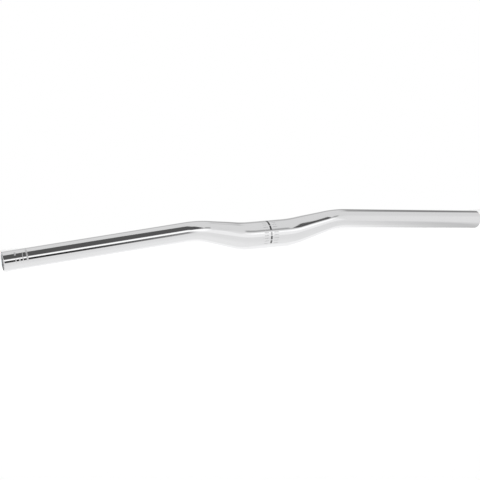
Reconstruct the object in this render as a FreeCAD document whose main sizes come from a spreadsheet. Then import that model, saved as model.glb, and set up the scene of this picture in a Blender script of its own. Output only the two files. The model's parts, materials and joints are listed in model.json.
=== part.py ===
import FreeCAD, Part
import math
import os
import Sketcher
from FreeCAD import Placement, Rotation, Vector

# Flat handlebar: one drawn aluminium tube, thick at the stem clamp, slim at the grips.
# Each half leaves the clamp axis at the knee, steps forward, and turns back and up at the shoulder.
# Directions while modelling are those on the bicycle: +X to the rider's left, +Y back, +Z up.

# Driving dimensions, in millimetres and degrees
DIMENSIONS = [
    ("overall_width", 620.0, "between the centres of the two end faces"),
    ("clamp_diameter", 31.8, "outside of the tube in the stem"),
    ("grip_diameter", 22.2, "outside of the tube under a grip"),
    ("clamp_wall", 2.5, "tube wall at the clamp"),
    ("grip_wall", 1.9, "tube wall at the grips"),
    ("knee_reach", 31.0, "centre to the corner where the tube leaves the clamp axis"),
    ("knee_radius", 95.0, "bend radius of the centreline at the knee"),
    ("shoulder_reach", 89.5, "centre to the corner where the grip run starts"),
    ("shoulder_forward", 13.6, "shoulder corner ahead of the clamp axis"),
    ("shoulder_radius", 72.0, "bend radius of the centreline at the shoulder"),
    ("backsweep", 8.0, "turn of the grip run back, seen from above"),
    ("upsweep", 5.0, "turn of the grip run up, seen from the front"),
    ("end_round", 0.8, "rounding of the outer edge at each end"),
    ("bore_chamfer", 0.5, "chamfer of the inner edge at each end"),
]

# What follows from the driving dimensions
FORMULAS = [
    ("riser_run", "shoulder_reach - knee_reach"),
    ("riser_length", "sqrt(riser_run ^ 2 + shoulder_forward ^ 2)"),
    ("arm_run", "overall_width / 2 - shoulder_reach"),
    ("arm_slope", "sqrt(1 + tan(backsweep) ^ 2 + tan(upsweep) ^ 2)"),
    ("knee_turn", "acos(riser_run / riser_length) / 1deg"),
    ("shoulder_pull", "riser_run - shoulder_forward * tan(backsweep)"),
    ("shoulder_turn", "acos(shoulder_pull / riser_length / arm_slope) / 1deg"),
    ("knee_tangent", "knee_radius * tan(knee_turn / 2)"),
    ("shoulder_tangent", "shoulder_radius * tan(shoulder_turn / 2)"),
    ("clamp_straight", "2 * (knee_reach - knee_tangent)"),
    ("riser_straight", "riser_length - knee_tangent - shoulder_tangent"),
    ("grip_straight", "arm_run * arm_slope - shoulder_tangent"),
]

# Sections of the taper on each stretch between the clamp and the grip
KNEE_STEPS = 5
RISER_STEPS = 4
SHOULDER_STEPS = 5

# Passes that settle the lying turn, and how near a rim edge must be to its stated place and radius
LYING_PASSES = 20
MATCH = 0.001

# A circle's centre and the sketch's origin, as sketch constraints number them
CENTRE = 3
ORIGIN = (-1, 1)

X_AXIS = Vector(1, 0, 0)

doc = FreeCAD.newDocument("handlebar")
dims = doc.addObject("Spreadsheet::Sheet", "dims")


def fill_sheet():
    """Write the driving dimensions and what follows from them, one named cell to a row."""
    rows = [(name, str(value), note) for name, value, note in DIMENSIONS]
    rows += [(name, "=" + formula, "derived") for name, formula in FORMULAS]
    for row, (name, content, note) in enumerate(rows, start=1):
        dims.set(f"A{row}", name)
        dims.set(f"B{row}", content)
        dims.set(f"C{row}", note)
        dims.setAlias(f"B{row}", name)
    doc.recompute()


def size(name):
    """A named cell as a plain number."""
    return float(dims.get(name))


def bend(start, direction, inward, radius, turn, share):
    """Point and direction on a bend of the centreline, at a share of its turn."""
    angle = turn * share
    point = start + direction * (radius * math.sin(angle)) + inward * (radius * (1 - math.cos(angle)))
    return point, direction * math.cos(angle) + inward * math.sin(angle)


def unit(vector):
    """A vector of length one along the given one."""
    return vector / vector.Length


def taper_stations():
    """Right half of the centreline from clamp to grip: (distance along it, point, direction)."""
    knee_turn = math.radians(size("knee_turn"))
    shoulder_turn = math.radians(size("shoulder_turn"))
    back, up = (math.tan(math.radians(size(name))) for name in ("backsweep", "upsweep"))
    riser = unit(Vector(size("riser_run"), -size("shoulder_forward"), 0))
    arm = unit(Vector(1, back, up))
    knee_start = X_AXIS * (size("clamp_straight") / 2)
    knee_inward = unit(riser - X_AXIS * riser.dot(X_AXIS))
    shoulder_inward = unit(arm - riser * arm.dot(riser))

    stations = []
    for step in range(KNEE_STEPS):
        share = step / KNEE_STEPS
        point, direction = bend(knee_start, X_AXIS, knee_inward, size("knee_radius"), knee_turn, share)
        stations.append((size("knee_radius") * knee_turn * share, point, direction))

    travelled = size("knee_radius") * knee_turn
    riser_start, _ = bend(knee_start, X_AXIS, knee_inward, size("knee_radius"), knee_turn, 1)
    for step in range(RISER_STEPS):
        along = size("riser_straight") * step / RISER_STEPS
        stations.append((travelled + along, riser_start + riser * along, riser))

    travelled += size("riser_straight")
    shoulder_start = riser_start + riser * size("riser_straight")
    for step in range(SHOULDER_STEPS + 1):
        share = step / SHOULDER_STEPS
        point, direction = bend(
            shoulder_start, riser, shoulder_inward, size("shoulder_radius"), shoulder_turn, share
        )
        stations.append((travelled + size("shoulder_radius") * shoulder_turn * share, point, direction))
    return stations


def ring_sketch(body, name, point, direction, share):
    """The tube's section at a point of the centreline, from 0 at the clamp to 1 at the grip."""
    plane = next(item for item in body.Origin.OriginFeatures if item.Role == "YZ_Plane")
    sketch = body.newObject("Sketcher::SketchObject", name)
    sketch.AttachmentSupport = (plane, [""])
    sketch.MapMode = "FlatFace"
    turned = Placement(point, Rotation(X_AXIS, direction))
    sketch.AttachmentOffset = plane.Placement.inverse() * turned * plane.Placement
    # The taper eases out of the clamp and into the grip along half a cosine wave.
    eased = (1 - math.cos(math.pi * share)) / 2
    blend = "(dims.clamp_{0} + (dims.grip_{0} - dims.clamp_{0}) * %.9f)" % eased
    outer = blend.format("diameter")
    inner = outer + " - 2 * " + blend.format("wall")
    for index, (edge, expression) in enumerate((("outer", outer), ("inner", inner))):
        radius = size("clamp_diameter") / 2 - index * size("clamp_wall")
        sketch.addGeometry(Part.Circle(Vector(0, 0, 0), Vector(0, 0, 1), radius), False)
        sketch.addConstraint(Sketcher.Constraint("Coincident", index, CENTRE, *ORIGIN))
        constraint = sketch.addConstraint(Sketcher.Constraint("Diameter", index, 2 * radius))
        sketch.renameConstraint(constraint, edge)
        sketch.setExpression(f"Constraints.{edge}", expression)
    return sketch


def rim_edges(shape, centre, radius):
    """Names of the round edges of a radius about the bar's ends, left and right."""
    names = []
    for number, edge in enumerate(shape.Edges, start=1):
        if not isinstance(edge.Curve, Part.Circle) or abs(edge.Curve.Radius - radius) > MATCH:
            continue
        middle = edge.Curve.Center
        if (Vector(abs(middle.x), middle.y, middle.z) - centre).Length < MATCH:
            names.append(f"Edge{number}")
    return names


def lying_turn(end, arm):
    """Turn about the clamp axis, in degrees, that lays the clamp and both rounded rims on one level."""
    rim_round = size("end_round")
    rim_centre = end - arm * rim_round
    rim_ring = size("grip_diameter") / 2 - rim_round
    reach = math.hypot(rim_centre.y, rim_centre.z)
    aim = math.atan2(rim_centre.z, rim_centre.y)
    turn = 0.0
    for _ in range(LYING_PASSES):
        slope = Rotation(X_AXIS, math.degrees(turn)).multVec(arm).z
        rim_depth = rim_ring * math.sqrt(1 - slope**2) + rim_round
        turn = math.asin((rim_depth - size("clamp_diameter") / 2) / reach) - aim
    return math.degrees(turn)


def handlebar():
    """The whole tube: clamp, the two tapered double bends, the two grip runs and their edges."""
    body = doc.addObject("PartDesign::Body", "handlebar")
    body.Label = "handlebar"
    plane = next(item for item in body.Origin.OriginFeatures if item.Role == "YZ_Plane")

    clamp = body.newObject("PartDesign::Pad", "clamp")
    clamp.Profile = ring_sketch(body, "clamp_section", Vector(0, 0, 0), X_AXIS, 0)
    clamp.Midplane = True
    clamp.setExpression("Length", "dims.clamp_straight")

    stations = taper_stations()
    whole = stations[-1][0]
    sections = [
        ring_sketch(body, f"taper_section_{number}", point, direction, along / whole)
        for number, (along, point, direction) in enumerate(stations)
    ]
    taper = body.newObject("PartDesign::AdditiveLoft", "taper")
    taper.Profile = sections[0]
    taper.Sections = sections[1:]

    _, grip_start, arm = stations[-1]
    grip = body.newObject("PartDesign::Pad", "grip")
    grip.Profile = ring_sketch(body, "grip_section", grip_start, arm, 1)
    grip.setExpression("Length", "dims.grip_straight")
    doc.recompute()

    halves = body.newObject("PartDesign::Mirrored", "halves")
    halves.Originals = [taper, grip]
    halves.MirrorPlane = (plane, [""])
    body.Tip = halves
    doc.recompute()

    end = grip_start + arm * size("grip_straight")
    grip_radius = size("grip_diameter") / 2
    rounded = body.newObject("PartDesign::Fillet", "rounded_rims")
    rounded.Base = (halves, rim_edges(halves.Shape, end, grip_radius))
    rounded.setExpression("Radius", "dims.end_round")
    doc.recompute()

    chamfered = body.newObject("PartDesign::Chamfer", "chamfered_bores")
    chamfered.Base = (rounded, rim_edges(rounded.Shape, end, grip_radius - size("grip_wall")))
    chamfered.setExpression("Size", "dims.bore_chamfer")
    body.Tip = chamfered

    # Off the bicycle the bar lies on its clamp and both ends, the shoulders up.
    body.Placement = Placement(Vector(0, 0, 0), Rotation(X_AXIS, lying_turn(end, arm)))
    doc.recompute()
    return body


def check(pieces):
    """Stop if an object failed to build or a piece has no sound solid."""
    for item in doc.Objects:
        if {"Invalid", "Error"} & set(item.State):
            raise RuntimeError(f"{item.Name} failed: {item.State}")
    for piece in pieces:
        shape = piece.Shape
        if shape.isNull() or not shape.isValid() or len(shape.Solids) != 1:
            raise RuntimeError(f"{piece.Label} is not one sound solid")


def export(pieces):
    """Write each piece to a STEP file of its own name."""
    os.makedirs("parts", exist_ok=True)
    for piece in pieces:
        piece.Shape.exportStep(f"parts/{piece.Label}.step")


fill_sheet()
PIECES = [handlebar()]
check(PIECES)
export(PIECES)
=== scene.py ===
"""Looks of a flat handlebar: one bent, tapered tube of polished aluminium on a pale studio floor."""

import json
import logging
import math
from dataclasses import dataclass, field
from enum import Enum, IntEnum

import bmesh
import bpy
from mathutils import Matrix, Vector


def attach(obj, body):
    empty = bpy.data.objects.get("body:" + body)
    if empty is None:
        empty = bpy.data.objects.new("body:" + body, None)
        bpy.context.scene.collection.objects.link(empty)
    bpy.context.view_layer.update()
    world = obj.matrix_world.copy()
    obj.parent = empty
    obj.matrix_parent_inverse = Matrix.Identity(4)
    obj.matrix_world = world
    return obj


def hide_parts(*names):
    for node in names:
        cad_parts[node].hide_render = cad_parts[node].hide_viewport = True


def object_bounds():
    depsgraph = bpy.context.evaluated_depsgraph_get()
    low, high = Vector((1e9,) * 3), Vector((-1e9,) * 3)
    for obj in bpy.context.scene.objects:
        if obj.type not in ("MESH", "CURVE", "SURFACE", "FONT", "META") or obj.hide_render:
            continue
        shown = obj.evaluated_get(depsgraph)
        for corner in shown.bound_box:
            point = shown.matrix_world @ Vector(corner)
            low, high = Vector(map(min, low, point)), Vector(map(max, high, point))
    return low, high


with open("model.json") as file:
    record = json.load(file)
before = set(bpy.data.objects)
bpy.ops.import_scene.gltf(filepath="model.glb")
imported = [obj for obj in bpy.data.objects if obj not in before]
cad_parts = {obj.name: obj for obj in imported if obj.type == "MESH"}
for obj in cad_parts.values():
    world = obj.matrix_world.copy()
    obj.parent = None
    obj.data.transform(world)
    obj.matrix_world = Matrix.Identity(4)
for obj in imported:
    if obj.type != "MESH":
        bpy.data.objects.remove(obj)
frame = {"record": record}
CAD_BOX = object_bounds()

LOG = logging.getLogger("handlebar")
NODE = "handlebar"
BODY = "root"
MILLIMETRE = 0.001
X_AXIS = Vector((1, 0, 0))
UP = Vector((0, 0, 1))
FRONT = Vector((0, -1, 0))
ALL_ROUND = (-200.0, 200.0)
HALF_TURN = 180.0
WHITE = (1.0, 1.0, 1.0, 1.0)
LINE_DETAIL = 3.0
CLOUD_DETAIL = 4.0
DISC_SEGMENTS = 64
WELD_DISTANCE = MILLIMETRE / 100

Value = float | tuple[float, ...] | bpy.types.NodeSocket
Colour = tuple[float, float, float, float]
Span = tuple[float, float]


class Surface(IntEnum):
    """Material slots of the tube's faces."""

    SKIN = 0
    BORE = 1


class SocketKind(Enum):
    """Kinds of sockets on a node group."""

    NUMBER = "NodeSocketFloat"
    VECTOR = "NodeSocketVector"


class MixKind(Enum):
    """What a mix node mixes."""

    NUMBER = "FLOAT"
    COLOUR = "RGBA"


# Node trees


@dataclass
class NodeSheet:
    """A node tree with short ways to add and join its nodes.

    Args:
        tree: the node tree to fill.
    """

    tree: bpy.types.NodeTree

    def node(self, kind: str, **settings: object) -> bpy.types.Node:
        """Add a node.

        Args:
            kind: the node's type name.
            settings: properties to set on it.

        Returns:
            The new node.
        """
        made = self.tree.nodes.new(kind)
        for name, value in settings.items():
            setattr(made, name, value)
        return made

    def feed(self, socket: bpy.types.NodeSocket, value: Value) -> None:
        """Link a socket to another one, or set its constant.

        Args:
            socket: the input to feed.
            value: an output socket, a number or a tuple of numbers.
        """
        if isinstance(value, bpy.types.NodeSocket):
            self.tree.links.new(value, socket)
        else:
            socket.default_value = value

    def math(self, operation: str, *values: Value) -> bpy.types.NodeSocket:
        """Add a Math node.

        Args:
            operation: the name of the operation.
            values: what feeds its inputs, in order.

        Returns:
            The result.
        """
        made = self.node("ShaderNodeMath", operation=operation)
        for socket, value in zip(made.inputs, values):
            self.feed(socket, value)
        return made.outputs[0]

    def vector_math(self, operation: str, first: Value, second: Value) -> bpy.types.NodeSocket:
        """Add a Vector Math node whose result is a vector.

        Args:
            operation: the name of the operation.
            first: the first vector.
            second: the second vector.

        Returns:
            The resulting vector.
        """
        made = self.node("ShaderNodeVectorMath", operation=operation)
        self.feed(made.inputs[0], first)
        self.feed(made.inputs[1], second)
        return made.outputs["Vector"]

    def dot(self, vector: Value, direction: Vector) -> bpy.types.NodeSocket:
        """Add a dot product with a fixed direction.

        Args:
            vector: the socket to measure.
            direction: the direction to measure along.

        Returns:
            The length of the vector along the direction.
        """
        made = self.node("ShaderNodeVectorMath", operation="DOT_PRODUCT")
        self.feed(made.inputs[0], vector)
        self.feed(made.inputs[1], tuple(direction))
        return made.outputs["Value"]

    def position(self) -> bpy.types.NodeSocket:
        """Place on the piece, in Object coordinates."""
        return self.node("ShaderNodeTexCoord").outputs["Object"]

    def angle(self, ahead: Value, start: Value) -> bpy.types.NodeSocket:
        """Angle in degrees of a place, from a start direction towards another one."""
        return self.math("DEGREES", self.math("ARCTAN2", ahead, start))

    def between(self, value: Value, first: float, last: float) -> bpy.types.NodeSocket:
        """Mask that is 1 where a value lies between two limits."""
        return self.math("COMPARE", value, (first + last) / 2, (last - first) / 2)

    def ramp(self, value: Value, low: Value, high: Value, bottom: Value = 0.0,
             top: Value = 1.0) -> bpy.types.NodeSocket:
        """Ease a value from one level to another.

        Args:
            value: the value that is read.
            low: where the ease starts.
            high: where the ease ends.
            bottom: the level before the start.
            top: the level after the end.

        Returns:
            The eased level.
        """
        made = self.node("ShaderNodeMapRange", interpolation_type="SMOOTHSTEP")
        for socket, given in zip(made.inputs, (value, low, high, bottom, top)):
            self.feed(socket, given)
        return made.outputs["Result"]

    def mix(self, kind: MixKind, factor: Value, first: Value, second: Value) -> bpy.types.NodeSocket:
        """Mix two numbers or two colours.

        Args:
            kind: what is mixed.
            factor: the second one's share.
            first: the first number or colour.
            second: the second number or colour.

        Returns:
            The mixed number or colour.
        """
        made = self.node("ShaderNodeMix", data_type=kind.value)
        for name, value in (("Factor", factor), ("A", first), ("B", second)):
            self.feed(made.inputs[name], value)
        return made.outputs["Result"]

    def mix_shaders(self, factor: Value, first: Value, second: Value) -> bpy.types.NodeSocket:
        """Mix two shaders.

        Args:
            factor: the second one's share.
            first: the first shader.
            second: the second shader.

        Returns:
            The mixed shader.
        """
        made = self.node("ShaderNodeMixShader")
        for socket, value in zip(made.inputs, (factor, first, second)):
            self.feed(socket, value)
        return made.outputs["Shader"]

    def group(self, tree: bpy.types.NodeTree, **inputs: Value) -> bpy.types.Node:
        """Place a node group.

        Args:
            tree: the group's node tree.
            inputs: what feeds its inputs, by name.

        Returns:
            The group node.
        """
        made = self.node("ShaderNodeGroup", node_tree=tree)
        for name, value in inputs.items():
            self.feed(made.inputs[name], value)
        return made


def new_material(name: str) -> tuple[bpy.types.Material, NodeSheet, bpy.types.Node]:
    """Make a material.

    Args:
        name: the material's name.

    Returns:
        The material, its node sheet and its shader node.
    """
    made = bpy.data.materials.new(name)
    made.use_nodes = True
    return made, NodeSheet(made.node_tree), made.node_tree.nodes["Principled BSDF"]


@dataclass(frozen=True)
class GroupForm:
    """Name and sockets of a shader node group.

    Args:
        name: the group's name.
        inputs: input names and kinds.
        outputs: names of the number outputs.
    """

    name: str
    inputs: tuple[tuple[str, SocketKind], ...]
    outputs: tuple[str, ...]

    def start(self) -> tuple[NodeSheet, bpy.types.Node, bpy.types.Node]:
        """Make the empty group.

        Returns:
            Its node sheet, and the nodes that hold its inputs and its outputs.
        """
        tree = bpy.data.node_groups.new(self.name, "ShaderNodeTree")
        for name, kind in self.inputs:
            tree.interface.new_socket(name, in_out="INPUT", socket_type=kind.value)
        for name in self.outputs:
            tree.interface.new_socket(name, in_out="OUTPUT", socket_type=SocketKind.NUMBER.value)
        sheet = NodeSheet(tree)
        return sheet, sheet.node("NodeGroupInput"), sheet.node("NodeGroupOutput")


def metal_grain_group() -> bpy.types.NodeTree:
    """Make the group for fine drawn lines and soft clouds on bare metal.

    Returns:
        The group's node tree, with Lines and Clouds from 0 to 1.
    """
    number, vector = SocketKind.NUMBER, SocketKind.VECTOR
    form = GroupForm(
        "metal_grain",
        (("Position", vector), ("Line Density", number), ("Line Stretch", number), ("Cloud Density", number)),
        ("Lines", "Clouds"),
    )
    sheet, given, result = form.start()
    squeeze = sheet.node("ShaderNodeCombineXYZ")
    sheet.feed(squeeze.inputs["X"], sheet.math("DIVIDE", 1.0, given.outputs["Line Stretch"]))
    sheet.feed(squeeze.inputs["Y"], 1.0)
    sheet.feed(squeeze.inputs["Z"], 1.0)
    stretched = sheet.vector_math("MULTIPLY", given.outputs["Position"], squeeze.outputs["Vector"])
    for name, place, density, detail in (
        ("Lines", stretched, given.outputs["Line Density"], LINE_DETAIL),
        ("Clouds", given.outputs["Position"], given.outputs["Cloud Density"], CLOUD_DETAIL),
    ):
        noise = sheet.node("ShaderNodeTexNoise")
        sheet.feed(noise.inputs["Vector"], place)
        sheet.feed(noise.inputs["Scale"], density)
        sheet.feed(noise.inputs["Detail"], detail)
        sheet.feed(result.inputs[name], noise.outputs["Fac"])
    return sheet.tree


def soft_panel_group() -> bpy.types.NodeTree:
    """Make the group for one soft-edged panel of the studio, by direction in degrees.

    Returns:
        The group's node tree, with Cover from 0 to 1.
    """
    number = SocketKind.NUMBER
    names = ("Azimuth", "Elevation", "Middle Azimuth", "Middle Elevation", "Half Width", "Half Height",
             "Side Softness", "Edge Softness", "Slope", "Lean")
    form = GroupForm("soft_panel", tuple((name, number) for name in names), ("Cover",))
    sheet, given, result = form.start()
    aside = sheet.math("SUBTRACT", given.outputs["Azimuth"], given.outputs["Middle Azimuth"])
    aside = sheet.math("WRAP", aside, HALF_TURN, -HALF_TURN)
    above = sheet.math("SUBTRACT", given.outputs["Elevation"], given.outputs["Middle Elevation"])
    across = sheet.math("SUBTRACT", aside, sheet.math("MULTIPLY", above, given.outputs["Lean"]))
    along = sheet.math("SUBTRACT", above, sheet.math("MULTIPLY", aside, given.outputs["Slope"]))
    covers = []
    for offset, half, softness in (
        (across, "Half Width", "Side Softness"),
        (along, "Half Height", "Edge Softness"),
    ):
        spread = sheet.math("MULTIPLY", given.outputs[softness], 0.5)
        outside = sheet.math("ADD", given.outputs[half], spread)
        inside = sheet.math("SUBTRACT", given.outputs[half], spread)
        covers.append(sheet.ramp(sheet.math("ABSOLUTE", offset), outside, inside))
    sheet.feed(result.inputs["Cover"], sheet.math("MULTIPLY", *covers))
    return sheet.tree


# The bar's centreline and sizes


@dataclass(frozen=True)
class Mount:
    """A round interface of the bar, in metres.

    Args:
        point: the middle of its length, on its axis.
        axis: the way its mate leaves it.
        radius: its radius.
        length: its length.
    """

    point: Vector
    axis: Vector
    radius: float
    length: float

    @classmethod
    def named(cls, record: dict, name: str) -> "Mount":
        """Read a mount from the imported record.

        Args:
            record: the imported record.
            name: the mount's name.

        Returns:
            The mount.
        """
        found = next(item for item in record["mounts"] if item["name"] == name)
        sizes = found["dims"]
        return cls(
            Vector(found["pos_m"]),
            Vector(found["axis"]).normalized(),
            sizes["r_mm"] * MILLIMETRE,
            sizes["length_mm"] * MILLIMETRE,
        )


@dataclass(frozen=True)
class Straight:
    """A straight run of the centreline.

    Args:
        start: its first point.
        direction: its direction, of length one.
        length: its length.
        steps: how many rings divide it.
    """

    start: Vector
    direction: Vector
    length: float
    steps: int

    def at(self, share: float) -> tuple[Vector, Vector]:
        """Point and direction at a share of the run, from 0 to 1."""
        return self.start + self.direction * (self.length * share), self.direction


@dataclass(frozen=True)
class Bend:
    """A round bend of the centreline.

    Args:
        start: its first point.
        direction: its direction there, of length one.
        inward: the way to its middle there, of length one.
        radius: the bend radius.
        turn: its whole turn, in radians.
        steps: how many rings divide it.
    """

    start: Vector
    direction: Vector
    inward: Vector
    radius: float
    turn: float
    steps: int

    @property
    def length(self) -> float:
        """Length of the bend along the centreline."""
        return self.radius * self.turn

    def at(self, share: float) -> tuple[Vector, Vector]:
        """Point and direction at a share of the bend, from 0 to 1."""
        sine, cosine = math.sin(self.turn * share), math.cos(self.turn * share)
        ahead, aside = self.radius * sine, self.radius * (1 - cosine)
        point = self.start + self.direction * ahead + self.inward * aside
        return point, self.direction * cosine + self.inward * sine


@dataclass(frozen=True)
class Station:
    """One ring of the tube.

    Args:
        point: the ring's middle.
        direction: the tube's direction there.
        radius: the ring's radius.
        surface: the finish of the strip that leads to it.
        sharp: whether its edge is crisp.
    """

    point: Vector
    direction: Vector
    radius: float
    surface: Surface = Surface.SKIN
    sharp: bool = False

    def move_to(self, after: "Station") -> Matrix:
        """Matrix that takes this ring to a later one without twist.

        Args:
            after: the later ring.

        Returns:
            The matrix.
        """
        turn = self.direction.rotation_difference(after.direction).to_matrix().to_4x4()
        growth = Matrix.Scale(after.radius / self.radius, 4)
        return Matrix.Translation(after.point) @ turn @ growth @ Matrix.Translation(-self.point)


# Finishes


@dataclass(frozen=True)
class CentreMark:
    """Dark dashed ring round the middle of the clamp, with faint roll graduations beside it.

    Angles are in degrees, from the top towards the front.

    Args:
        ring_half: half the ring's width.
        dashes: first and last angle of each dash, and how fully it is printed.
        tick_pitch: angle between graduations.
        tick_half: half a graduation's width, as an angle.
        tick_span: first and last angle of the graduations.
        tick_middle: how far from the ring a graduation's middle lies.
        tick_reach: half a graduation's length.
        tick_print: how fully a graduation is printed.
    """

    ring_half: float = 0.0011
    dashes: tuple[tuple[float, float, float], ...] = (
        (13, 52, 1.0), (54, 73, 1.0), (82, 97, 0.4), (99, 114, 0.9), (118, 134, 0.8),
    )
    tick_pitch: float = 12.0
    tick_half: float = 1.3
    tick_span: Span = (26, 134)
    tick_middle: float = 0.0062
    tick_reach: float = 0.0028
    tick_print: float = 0.22

    def masks(self, sheet: NodeSheet, position: bpy.types.NodeSocket) -> tuple[Value, Value]:
        """Add the nodes of the mark.

        Args:
            sheet: the material's node sheet.
            position: the place on the piece.

        Returns:
            The mask of the print and that of the etched graduations.
        """
        along = sheet.dot(position, X_AXIS)
        angle = sheet.angle(sheet.dot(position, FRONT), sheet.dot(position, UP))
        ring: Value = 0.0
        for first, last, strength in self.dashes:
            dash = sheet.math("MULTIPLY", sheet.between(angle, first, last), strength)
            ring = sheet.math("ADD", ring, dash)
        ring = sheet.math("MULTIPLY", ring, sheet.math("COMPARE", along, 0.0, self.ring_half))
        nearest = sheet.math("WRAP", angle, self.tick_pitch / 2, -self.tick_pitch / 2)
        ticks = sheet.math("COMPARE", nearest, 0.0, self.tick_half)
        ticks = sheet.math("MULTIPLY", ticks, sheet.between(angle, *self.tick_span))
        aside = sheet.math("ABSOLUTE", along)
        beside = sheet.math("COMPARE", aside, self.tick_middle, self.tick_reach)
        ticks = sheet.math("MULTIPLY", ticks, beside)
        printed = sheet.math("MAXIMUM", ring, sheet.math("MULTIPLY", ticks, self.tick_print))
        return printed, ticks


@dataclass(frozen=True)
class CutLine:
    """One etched line round part of the tube.

    Args:
        distance: its distance from the tube's end.
        half_width: half its width.
        first: its first angle.
        last: its last angle.
    """

    distance: float
    half_width: float
    first: float
    last: float


@dataclass(frozen=True)
class CutMarks:
    """Etched lines near one end that show where the bar may be cut.

    Angles are in degrees, from the top towards the front.

    Args:
        end: middle of the end face.
        axis: the grip run's direction there, outwards.
        lines: the lines.
    """

    end: Vector
    axis: Vector
    lines: tuple[CutLine, ...] = (
        CutLine(0.0134, 0.0011, 42, 64),
        CutLine(0.0134, 0.0005, 84, 106),
        CutLine(0.0177, 0.0007, 86, 106),
        CutLine(0.0214, 0.0005, 57, 106),
        CutLine(0.0262, 0.0010, 20, 106),
    )

    def mask(self, sheet: NodeSheet, position: bpy.types.NodeSocket) -> Value:
        """Add the nodes of the lines.

        Args:
            sheet: the material's node sheet.
            position: the place on the piece.

        Returns:
            The mask of the etched lines.
        """
        inward = sheet.vector_math("SUBTRACT", tuple(self.end), position)
        upright = (UP - self.axis * UP.dot(self.axis)).normalized()
        frontal = (FRONT - self.axis * FRONT.dot(self.axis) - upright * FRONT.dot(upright)).normalized()
        depth = sheet.dot(inward, self.axis)
        angle = sheet.angle(sheet.dot(inward, -frontal), sheet.dot(inward, -upright))
        mask: Value = 0.0
        for line in self.lines:
            etched = sheet.math("COMPARE", depth, line.distance, line.half_width)
            etched = sheet.math("MULTIPLY", etched, sheet.between(angle, line.first, line.last))
            mask = sheet.math("MAXIMUM", mask, etched)
        return mask


@dataclass(frozen=True)
class Grain:
    """Scale and relief of the grain on a metal surface.

    Args:
        line_density: density of the drawn lines.
        line_stretch: how many times longer than wide they are.
        cloud_density: density of the clouds.
        relief: how strongly the lines tilt the surface.
        depth: depth of the lines.
    """

    line_density: float
    line_stretch: float
    cloud_density: float
    relief: float
    depth: float

    def place(self, sheet: NodeSheet, group: bpy.types.NodeTree, position: Value) -> bpy.types.Node:
        """Place the grain on a material.

        Args:
            sheet: the material's node sheet.
            group: the shared metal grain group.
            position: the place on the piece.

        Returns:
            The group node.
        """
        return sheet.group(group, **{
            "Position": position,
            "Line Density": self.line_density,
            "Line Stretch": self.line_stretch,
            "Cloud Density": self.cloud_density,
        })

    def tilt(self, sheet: NodeSheet, lines: Value) -> bpy.types.NodeSocket:
        """Add the lines' relief.

        Args:
            sheet: the material's node sheet.
            lines: the lines' height.

        Returns:
            The tilted normal.
        """
        bump = sheet.node("ShaderNodeBump")
        sheet.feed(bump.inputs["Strength"], self.relief)
        sheet.feed(bump.inputs["Distance"], self.depth)
        sheet.feed(bump.inputs["Height"], lines)
        return bump.outputs["Normal"]


@dataclass(frozen=True)
class PolishedAluminium:
    """Mirror-polished bare aluminium with printed and etched marks.

    Args:
        grain_group: the shared metal grain group.
        centre_mark: the mark round the clamp.
        cut_marks: the lines near one end.
        grain: the polish's grain.
        tone: the metal's colour.
        shade: its colour where the clouds are densest.
        ink: the printed ring's colour.
        wear: grain at which the polish is least and most rough.
        roughness: least and greatest roughness of the polish.
        etched_roughness: roughness of an etched line.
        ink_roughness: roughness of the printed ring.
    """

    grain_group: bpy.types.NodeTree
    centre_mark: CentreMark
    cut_marks: CutMarks
    grain: Grain = Grain(line_density=5200, line_stretch=60, cloud_density=34, relief=0.02, depth=0.00005)
    tone: Colour = (0.92, 0.92, 0.925, 1.0)
    shade: Colour = (0.89, 0.89, 0.9, 1.0)
    ink: Colour = (0.035, 0.035, 0.037, 1.0)
    wear: Span = (0.1, 0.4)
    roughness: Span = (0.045, 0.085)
    etched_roughness: float = 0.55
    ink_roughness: float = 0.35

    def material(self) -> bpy.types.Material:
        """Make the material.

        Returns:
            The material.
        """
        made, sheet, shader = new_material("polished_aluminium")
        position = sheet.position()
        grain = self.grain.place(sheet, self.grain_group, position)
        print_mask, ticks = self.centre_mark.masks(sheet, position)
        etched = sheet.math("MAXIMUM", ticks, self.cut_marks.mask(sheet, position))

        clouded = sheet.mix(MixKind.COLOUR, grain.outputs["Clouds"], self.tone, self.shade)
        printed = sheet.mix(MixKind.COLOUR, print_mask, clouded, self.ink)
        sheet.feed(shader.inputs["Base Color"], printed)
        sheet.feed(shader.inputs["Metallic"], sheet.math("SUBTRACT", 1.0, print_mask))

        worn = sheet.math("MULTIPLY", grain.outputs["Clouds"], grain.outputs["Lines"])
        roughness = sheet.ramp(worn, *self.wear, *self.roughness)
        roughness = sheet.mix(MixKind.NUMBER, etched, roughness, self.etched_roughness)
        roughness = sheet.mix(MixKind.NUMBER, print_mask, roughness, self.ink_roughness)
        sheet.feed(shader.inputs["Roughness"], roughness)
        sheet.feed(shader.inputs["Normal"], self.grain.tilt(sheet, grain.outputs["Lines"]))
        return made


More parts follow.
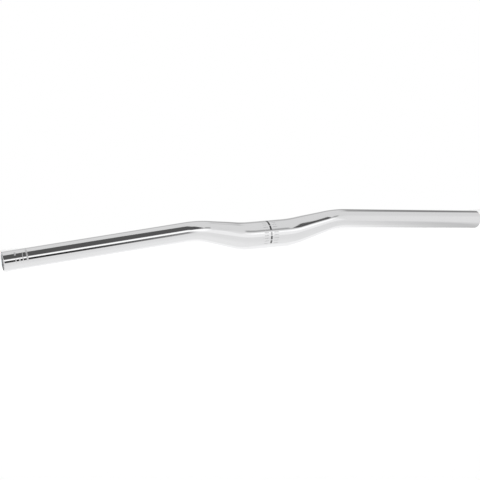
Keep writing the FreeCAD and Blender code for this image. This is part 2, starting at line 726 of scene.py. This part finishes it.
@dataclass(frozen=True)
class DrawnBore:
    """Drawn aluminium of the tube's inside, dulled by its oxide.

    Args:
        grain_group: the shared metal grain group.
        grain: the drawn grain.
        tone: the metal's colour.
        shade: its colour in the drawn lines.
        line_span: height at which a line starts and is full.
        cloud_span: cloud at which the metal is least and most rough.
        roughness: least and greatest roughness.
        metallic: how much of the metal shows through the oxide.
    """

    grain_group: bpy.types.NodeTree
    grain: Grain = Grain(line_density=2600, line_stretch=45, cloud_density=60, relief=0.15, depth=0.0001)
    tone: Colour = (0.9, 0.9, 0.905, 1.0)
    shade: Colour = (0.74, 0.74, 0.75, 1.0)
    line_span: Span = (0.35, 0.65)
    cloud_span: Span = (0.3, 0.7)
    roughness: Span = (0.4, 0.6)
    metallic: float = 0.25

    def material(self) -> bpy.types.Material:
        """Make the material.

        Returns:
            The material.
        """
        made, sheet, shader = new_material("drawn_bore")
        grain = self.grain.place(sheet, self.grain_group, sheet.position())
        drawn = sheet.ramp(grain.outputs["Lines"], *self.line_span)
        roughness = sheet.ramp(grain.outputs["Clouds"], *self.cloud_span, *self.roughness)
        sheet.feed(shader.inputs["Base Color"], sheet.mix(MixKind.COLOUR, drawn, self.tone, self.shade))
        sheet.feed(shader.inputs["Metallic"], self.metallic)
        sheet.feed(shader.inputs["Roughness"], roughness)
        sheet.feed(shader.inputs["Normal"], self.grain.tilt(sheet, grain.outputs["Lines"]))
        return made


# The bar


@dataclass
class Handlebar:
    """The tube: clamp, a knee and a shoulder on each side, and two open grip runs.

    Args:
        clamp: the stem clamp.
        grip: the grip run on the +X side.
        bore: the open bore on the +X side.
        clamp_wall: tube wall at the clamp.
        knee_reach: middle to the corner where the tube leaves the clamp axis.
        knee_radius: bend radius at the knee.
        shoulder_reach: middle to the corner where the grip run starts.
        shoulder_radius: bend radius at the shoulder.
        end_round: rounding of the outer edge at each end.
        bore_chamfer: chamfer of the inner edge at each end.
        facets: faces round the tube.
        run_steps: rings on the clamp, the knee, the riser, the shoulder and the grip run.
        round_steps: rings on the rounding.
        support: distance of the ring that keeps the rounding's shading off the grip run.
        skin_inset: how far the skin lies inside the solid's, so that its box is no larger.
    """

    clamp: Mount
    grip: Mount
    bore: Mount
    clamp_wall: float = 0.0025
    knee_reach: float = 0.031
    knee_radius: float = 0.095
    shoulder_reach: float = 0.0895
    shoulder_radius: float = 0.072
    end_round: float = 0.0008
    bore_chamfer: float = 0.0005
    facets: int = 96
    run_steps: tuple[int, int, int, int, int] = (6, 14, 12, 22, 40)
    round_steps: int = 8
    support: float = 0.0002
    skin_inset: float = 0.000025
    runs: list[Straight | Bend] = field(init=False)

    def __post_init__(self) -> None:
        """Lay out the centreline of the +X half, from the clamp's middle to the end's rounding."""
        knee = X_AXIS * self.knee_reach
        arm = self.grip.axis
        shoulder = self.grip.point + arm * ((self.shoulder_reach - self.grip.point.x) / arm.x)
        riser = (shoulder - knee).normalized()
        knee_turn, shoulder_turn = X_AXIS.angle(riser), riser.angle(arm)
        knee_tangent = self.knee_radius * math.tan(knee_turn / 2)
        shoulder_tangent = self.shoulder_radius * math.tan(shoulder_turn / 2)
        knee_inward = (riser - X_AXIS * riser.dot(X_AXIS)).normalized()
        shoulder_inward = (arm - riser * arm.dot(riser)).normalized()
        knee_start, riser_start = knee - X_AXIS * knee_tangent, knee + riser * knee_tangent
        shoulder_start, grip_start = shoulder - riser * shoulder_tangent, shoulder + arm * shoulder_tangent
        riser_length = (shoulder_start - riser_start).length
        grip_length = (self.end - grip_start).length - self.end_round - self.support
        clamp_steps, knee_steps, riser_steps, shoulder_steps, grip_steps = self.run_steps
        self.runs = [
            Straight(Vector(), X_AXIS, knee_start.length, clamp_steps),
            Bend(knee_start, X_AXIS, knee_inward, self.knee_radius, knee_turn, knee_steps),
            Straight(riser_start, riser, riser_length, riser_steps),
            Bend(shoulder_start, riser, shoulder_inward, self.shoulder_radius, shoulder_turn, shoulder_steps),
            Straight(grip_start, arm, grip_length, grip_steps),
        ]

    @classmethod
    def from_record(cls, record: dict) -> "Handlebar":
        """Take the bar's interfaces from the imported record.

        Args:
            record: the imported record.

        Returns:
            The bar.
        """
        return cls(*(Mount.named(record, name) for name in ("stem_clamp", "left_grip", "left_end_bore")))

    @property
    def end(self) -> Vector:
        """Middle of the end face on the +X side."""
        return self.grip.point + self.grip.axis * (self.grip.length / 2 + self.end_round)

    @property
    def clamp_radius(self) -> float:
        """Radius of the skin at the clamp."""
        return self.clamp.radius - self.skin_inset

    @property
    def grip_radius(self) -> float:
        """Radius of the skin on the grip runs."""
        return self.grip.radius - self.skin_inset

    def skin(self) -> list[Station]:
        """Rings of the outer skin, from the clamp's middle outwards.

        Returns:
            The stations.
        """
        clamp_run, *taper, grip_run = self.runs
        whole = sum(run.length for run in taper)
        stations = []
        for step in range(clamp_run.steps):
            stations.append(Station(*clamp_run.at(step / clamp_run.steps), self.clamp_radius))
        travelled = 0.0
        for run in taper:
            for step in range(run.steps):
                share = (travelled + run.length * step / run.steps) / whole
                radius = self.eased(self.clamp_radius, self.grip_radius, share)
                stations.append(Station(*run.at(step / run.steps), radius))
            travelled += run.length
        for step in range(grip_run.steps + 1):
            stations.append(Station(*grip_run.at(step / grip_run.steps), self.grip_radius))
        return stations

    def rim(self) -> list[Station]:
        """Rings of the rounded outer edge, the end face and the bore's chamfer.

        Returns:
            The stations.
        """
        arm = self.grip.axis
        stations = []
        for step in range(self.round_steps + 1):
            angle = math.pi / 2 * step / self.round_steps
            inset = self.end_round * (1 - math.sin(angle))
            radius = self.grip_radius - self.end_round * (1 - math.cos(angle))
            stations.append(Station(self.end - arm * inset, arm, radius))
        chamfer_radius = self.bore.radius + self.bore_chamfer
        stations.append(Station(self.end, arm, chamfer_radius, sharp=True))
        stations.append(Station(self.end - arm * self.bore_chamfer, arm, self.bore.radius, sharp=True))
        return stations

    def inside(self) -> list[Station]:
        """Rings of the inner skin, from the bore's mouth back to the clamp's middle.

        Returns:
            The stations.
        """
        grip_wall = self.grip_radius - self.bore.radius
        stations = []
        for station in reversed(self.skin()):
            slim = (self.clamp_radius - station.radius) / (self.clamp_radius - self.grip_radius)
            wall = self.clamp_wall + (grip_wall - self.clamp_wall) * slim
            stations.append(Station(station.point, station.direction, station.radius - wall, Surface.BORE))
        return stations

    @staticmethod
    def eased(first: float, last: float, share: float) -> float:
        """A size that changes from first to last along half a cosine wave."""
        return first + (last - first) * (1 - math.cos(math.pi * share)) / 2

    def mesh(self) -> bpy.types.Mesh:
        """Sweep one half ring by ring, out along the skin and back along the bore, and mirror it.

        Returns:
            The closed mesh.
        """
        shape = bmesh.new()
        first, *later = self.skin() + self.rim() + self.inside()
        facing = Matrix.Translation(first.point) @ Matrix.Rotation(math.pi / 2, 4, "Y")
        bmesh.ops.create_circle(shape, segments=self.facets, radius=first.radius, matrix=facing)
        edges = list(shape.edges)
        before = first
        for station in later:
            made = bmesh.ops.extrude_edge_only(shape, edges=edges)["geom"]
            verts = [item for item in made if isinstance(item, bmesh.types.BMVert)]
            edges = [item for item in made if isinstance(item, bmesh.types.BMEdge)]
            for face in (item for item in made if isinstance(item, bmesh.types.BMFace)):
                face.material_index = station.surface
                face.smooth = True
            for edge in edges:
                edge.smooth = not station.sharp
            bmesh.ops.transform(shape, matrix=before.move_to(station), verts=verts)
            before = station
        half = [*shape.verts, *shape.edges, *shape.faces]
        bmesh.ops.mirror(shape, geom=half, matrix=Matrix.Identity(4), merge_dist=WELD_DISTANCE, axis="X")
        bmesh.ops.recalc_face_normals(shape, faces=shape.faces)
        made = bpy.data.meshes.new("polished_bar")
        shape.to_mesh(made)
        shape.free()
        return made

    def build(self) -> bpy.types.Object:
        """Make the bar, dress it and let it stand for its CAD node.

        Returns:
            The bar's object.
        """
        grain_group = metal_grain_group()
        mesh = self.mesh()
        mirror = Matrix.Diagonal((-1, 1, 1))
        cut_marks = CutMarks(mirror @ self.end, mirror @ self.grip.axis)
        mesh.materials.append(PolishedAluminium(grain_group, CentreMark(), cut_marks).material())
        mesh.materials.append(DrawnBore(grain_group).material())
        piece = bpy.data.objects.new("polished_bar", mesh)
        bpy.context.scene.collection.objects.link(piece)
        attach(piece, BODY)
        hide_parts(NODE)
        return piece


# Studio and camera


@dataclass(frozen=True)
class Panel:
    """One soft panel of the studio, by direction in degrees.

    Azimuth is 0 towards the bar's front and grows towards +X. Elevation is above the horizon.

    Args:
        level: the panel's brightness.
        azimuth: its first and last azimuth.
        elevation: its first and last elevation.
        side_softness: width of its soft sides.
        edge_softness: height of its soft upper and lower edges.
        slope: how much its edges climb for each degree of azimuth.
        lean: how much its sides lean to greater azimuth for each degree of elevation.
    """

    level: float
    azimuth: Span
    elevation: Span
    side_softness: float = 8.0
    edge_softness: float = 6.0
    slope: float = 0.0
    lean: float = 0.0

    def cover(self, sheet: NodeSheet, group: bpy.types.NodeTree, azimuth: Value, elevation: Value) -> Value:
        """Add the panel's nodes.

        Args:
            sheet: the world's node sheet.
            group: the shared panel group.
            azimuth: the azimuth of the direction that is looked at.
            elevation: its elevation.

        Returns:
            How much of the direction the panel covers.
        """
        left, right = self.azimuth
        lower, upper = self.elevation
        placed = sheet.group(group, **{
            "Azimuth": azimuth,
            "Elevation": elevation,
            "Middle Azimuth": (left + right) / 2,
            "Middle Elevation": (lower + upper) / 2,
            "Half Width": (right - left) / 2,
            "Half Height": (upper - lower) / 2,
            "Side Softness": self.side_softness,
            "Edge Softness": self.edge_softness,
            "Slope": self.slope,
            "Lean": self.lean,
        })
        return placed.outputs["Cover"]


def disc(name: str, radius: float, middle: Vector, material: bpy.types.Material) -> bpy.types.Object:
    """Lay a level disc.

    Args:
        name: its name.
        radius: its radius.
        middle: its middle.
        material: its material.

    Returns:
        The disc's object.
    """
    shape = bmesh.new()
    place = Matrix.Translation(middle)
    bmesh.ops.create_circle(shape, cap_ends=True, segments=DISC_SEGMENTS, radius=radius, matrix=place)
    bmesh.ops.recalc_face_normals(shape, faces=shape.faces)
    mesh = bpy.data.meshes.new(name)
    shape.to_mesh(mesh)
    shape.free()
    mesh.materials.append(material)
    made = bpy.data.objects.new(name, mesh)
    bpy.context.scene.collection.objects.link(made)
    return made


@dataclass(frozen=True)
class FloorShade:
    """Soft painted shadow of the +X arm in the floor, which only the bar mirrors.

    Args:
        level: its brightness.
        middle: where it is deepest, in the plane of the floor.
        direction: the direction of its length.
        fade: how far from the middle it has faded out along its length.
        half_width: half its width, to the middle of the soft sides.
        softness: width of the soft sides.
        depth: how far under the floor it lies.
    """

    level: float = 0.555
    middle: Vector = Vector((0.315, 0.044, 0))
    direction: Vector = Vector((0.944, 0.329, 0))
    fade: float = 0.268
    half_width: float = 0.0265
    softness: float = 0.0166
    depth: float = 0.0001

    def material(self) -> bpy.types.Material:
        """Make the material, which is clear beside the shade.

        Returns:
            The material.
        """
        made, sheet, plain_shader = new_material("floor_shade")
        nodes = made.node_tree.nodes
        nodes.remove(plain_shader)
        offset = sheet.vector_math("SUBTRACT", sheet.position(), tuple(self.middle))
        forward = self.direction.normalized()
        along = sheet.math("ABSOLUTE", sheet.dot(offset, forward))
        across = sheet.math("ABSOLUTE", sheet.dot(offset, UP.cross(forward)))
        outer, inner = self.half_width + self.softness / 2, self.half_width - self.softness / 2
        cover = sheet.math("MULTIPLY", sheet.ramp(along, self.fade, 0.0), sheet.ramp(across, outer, inner))
        clear = sheet.node("ShaderNodeBsdfTransparent").outputs["BSDF"]
        # the painted shadow is a glowing patch at its level where it covers, and clear elsewhere
        glow = sheet.node("ShaderNodeEmission")
        sheet.feed(glow.inputs["Strength"], self.level)
        shaded = sheet.mix_shaders(cover, clear, glow.outputs["Emission"])
        sheet.feed(nodes["Material Output"].inputs["Surface"], shaded)
        return made

    def build(self) -> None:
        """Lay the clear disc with the shade just under the floor, for the mirroring bar alone."""
        middle = self.middle + UP * (CAD_BOX[0].z - self.depth)
        shade = disc("floor_shade", self.fade, middle, self.material())
        shade.visible_camera = False
        shade.visible_diffuse = False
        shade.visible_transmission = False
        shade.visible_shadow = False


@dataclass(frozen=True)
class Studio:
    """White surroundings with a few panels, a pale floor and a soft lamp.

    Args:
        level: brightness of the surroundings.
        panels: the panels, later ones over earlier ones.
        shade: the shade in the floor.
        floor_tone: the floor's colour.
        floor_roughness: the floor's roughness.
        floor_lift: what the floor gains before the camera, to reach white.
        floor_radius: the floor's radius.
        lamp_power: the lamp's power.
        lamp_size: the lamp's width.
        lamp_place: where the lamp hangs.
    """

    level: float = 0.8
    panels: tuple[Panel, ...] = (
        # the ceiling and the glow from below
        Panel(0.725, ALL_ROUND, (21, 100), edge_softness=20),
        Panel(0.87, ALL_ROUND, (-100, -56), edge_softness=38),
        # the white wall and the shades on the +X side
        Panel(0.98, (102, 200), (-61, 0), side_softness=5, edge_softness=9),
        Panel(0.49, (137, 170), (27, 51), side_softness=32, edge_softness=11),
        Panel(0.2, (102, 146), (32, 44), side_softness=20, edge_softness=15, slope=-0.42),
        # the dark panels behind and beside the bar
        Panel(0.13, (174, 322), (12, 46), side_softness=8, edge_softness=7),
        Panel(0.19, (78, 116), (3, 23), side_softness=8, edge_softness=6),
        # the dark panels in front, the white strip under them and the dark edge under that
        Panel(0.935, (-60, 35.8), (-16.4, 16.6), side_softness=3, edge_softness=5, lean=-0.46),
        Panel(0.36, (28.6, 37.5), (23, 35), side_softness=2.5, edge_softness=9, lean=0.52),
        Panel(0.09, (5, 25.6), (16.1, 47.7), side_softness=2.5, edge_softness=8.4, slope=0.78, lean=-0.17),
        Panel(0.095, (-60, 18.6), (19, 74), side_softness=6, edge_softness=3),
        Panel(1.15, (-60, 26.2), (-3.2, 13.3), side_softness=3, edge_softness=3, lean=0.76),
        Panel(0.033, (-20, 9.6), (-16.6, 4.2), side_softness=14, edge_softness=2.2, slope=-0.5),
    )
    shade: FloorShade = FloorShade()
    floor_tone: Colour = (0.92, 0.92, 0.92, 1.0)
    floor_roughness: float = 0.9
    floor_lift: float = 0.45
    floor_radius: float = 6.0
    lamp_power: float = 10.0
    lamp_size: float = 1.6
    lamp_place: Vector = Vector((0.3, -0.2, 1.6))

    def build(self) -> None:
        """Make the surroundings, the floor, its shade and the lamp."""
        self.surroundings()
        self.floor()
        self.shade.build()
        self.lamp()

    def surroundings(self) -> None:
        """Make the world: panels for light and reflections, plain white before the camera."""
        world = bpy.data.worlds.new("studio")
        bpy.context.scene.world = world
        world.use_nodes = True
        sheet = NodeSheet(world.node_tree)
        lit = world.node_tree.nodes["Background"]
        direction = sheet.node("ShaderNodeTexCoord").outputs["Generated"]
        ahead, aside, height = (sheet.dot(direction, axis) for axis in (FRONT, X_AXIS, UP))
        azimuth = sheet.angle(aside, ahead)
        elevation = sheet.math("DEGREES", sheet.math("ARCSINE", height))
        group = soft_panel_group()
        level: Value = self.level
        for panel in self.panels:
            cover = panel.cover(sheet, group, azimuth, elevation)
            level = sheet.mix(MixKind.NUMBER, cover, level, panel.level)
        sheet.feed(lit.inputs["Color"], level)
        white = sheet.node("ShaderNodeBackground")
        sheet.feed(white.inputs["Color"], WHITE)
        seen = sheet.node("ShaderNodeLightPath").outputs["Is Camera Ray"]
        shown = sheet.mix_shaders(seen, lit.outputs["Background"], white.outputs["Background"])
        sheet.feed(world.node_tree.nodes["World Output"].inputs["Surface"], shown)

    def floor(self) -> None:
        """Make the floor at the level of the bar's lowest point."""
        made, sheet, shader = new_material("pale_floor")
        sheet.feed(shader.inputs["Base Color"], self.floor_tone)
        sheet.feed(shader.inputs["Roughness"], self.floor_roughness)
        sheet.feed(shader.inputs["Specular IOR Level"], 0.0)
        sheet.feed(shader.inputs["Emission Color"], WHITE)
        seen = sheet.node("ShaderNodeLightPath").outputs["Is Camera Ray"]
        sheet.feed(shader.inputs["Emission Strength"], sheet.math("MULTIPLY", seen, self.floor_lift))
        floor = disc("floor", self.floor_radius, UP * CAD_BOX[0].z, made)
        floor.visible_glossy = False

    def lamp(self) -> None:
        """Hang a wide soft lamp over the bar, for the shadow on the floor."""
        light = bpy.data.lights.new("soft_lamp", "AREA")
        light.energy = self.lamp_power
        light.size = self.lamp_size
        lamp = bpy.data.objects.new("soft_lamp", light)
        bpy.context.scene.collection.objects.link(lamp)
        lamp.location = self.lamp_place
        lamp.rotation_euler = (-self.lamp_place).to_track_quat("-Z", "Y").to_euler()
        lamp.visible_glossy = False
        lamp.visible_camera = False


@dataclass(frozen=True)
class Viewpoint:
    """The photograph's camera.

    Args:
        azimuth: its angle from the bar's front towards -X, in degrees.
        elevation: its angle above the floor, in degrees.
        roll: its turn about its own axis, in degrees.
        distance: its distance from the clamp's middle.
        focal_pixels: its focal length, in pixels.
        clamp_pixel: where the clamp's middle falls in the picture.
        picture: the picture's width and height, in pixels.
        sensor: the sensor's width, in millimetres.
    """

    azimuth: float = 26.119
    elevation: float = 0.5
    roll: float = -4.856
    distance: float = 1.7
    focal_pixels: float = 1455.0
    clamp_pixel: tuple[float, float] = (265.75, 234.12)
    picture: int = 480
    sensor: float = 36.0

    @staticmethod
    def turned(first: Vector, second: Vector, angle: float) -> tuple[Vector, Vector]:
        """Turn two axes in their plane.

        Args:
            first: an axis.
            second: an axis at right angles to it.
            angle: the turn from the first towards the second, in radians.

        Returns:
            The two turned axes.
        """
        sine, cosine = math.sin(angle), math.cos(angle)
        return first * cosine + second * sine, second * cosine - first * sine

    def axes(self) -> Matrix:
        """Right, up and back axes of the camera, as the columns of a matrix.

        Returns:
            The matrix, with the camera's place.
        """
        azimuth, elevation = math.radians(self.azimuth), math.radians(self.elevation)
        level = Vector((-math.sin(azimuth), -math.cos(azimuth), 0)) * math.cos(elevation)
        place = (level + UP * math.sin(elevation)) * self.distance
        forward = -place.normalized()
        right = forward.cross(UP).normalized()
        up = right.cross(forward)
        right, up = self.turned(right, up, math.radians(self.roll))
        aside = self.clamp_pixel[0] - self.picture / 2
        below = self.clamp_pixel[1] - self.picture / 2
        yaw = math.atan2(aside, self.focal_pixels)
        pitch = math.atan2(-below, math.hypot(self.focal_pixels, aside))
        right, forward = self.turned(right, forward, yaw)
        up, forward = self.turned(up, forward, pitch)
        return Matrix.Translation(place) @ Matrix((right, up, -forward)).transposed().to_4x4()

    def build(self) -> None:
        """Make the camera and set it as the scene's."""
        lens = bpy.data.cameras.new("camera")
        lens.sensor_width = self.sensor
        lens.lens = self.focal_pixels / self.picture * self.sensor
        camera = bpy.data.objects.new("camera", lens)
        bpy.context.scene.collection.objects.link(camera)
        camera.matrix_world = self.axes()
        bpy.context.scene.camera = camera


def main() -> None:
    """Build the bar, its studio and its camera."""
    logging.basicConfig(level=logging.INFO, format="%(name)s: %(message)s")
    bpy.context.scene.view_settings.view_transform = "Standard"
    piece = Handlebar.from_record(frame["record"]).build()
    LOG.info("%s: %d faces", piece.name, len(piece.data.polygons))
    Studio().build()
    Viewpoint().build()


if __name__ == "__main__":
    main()
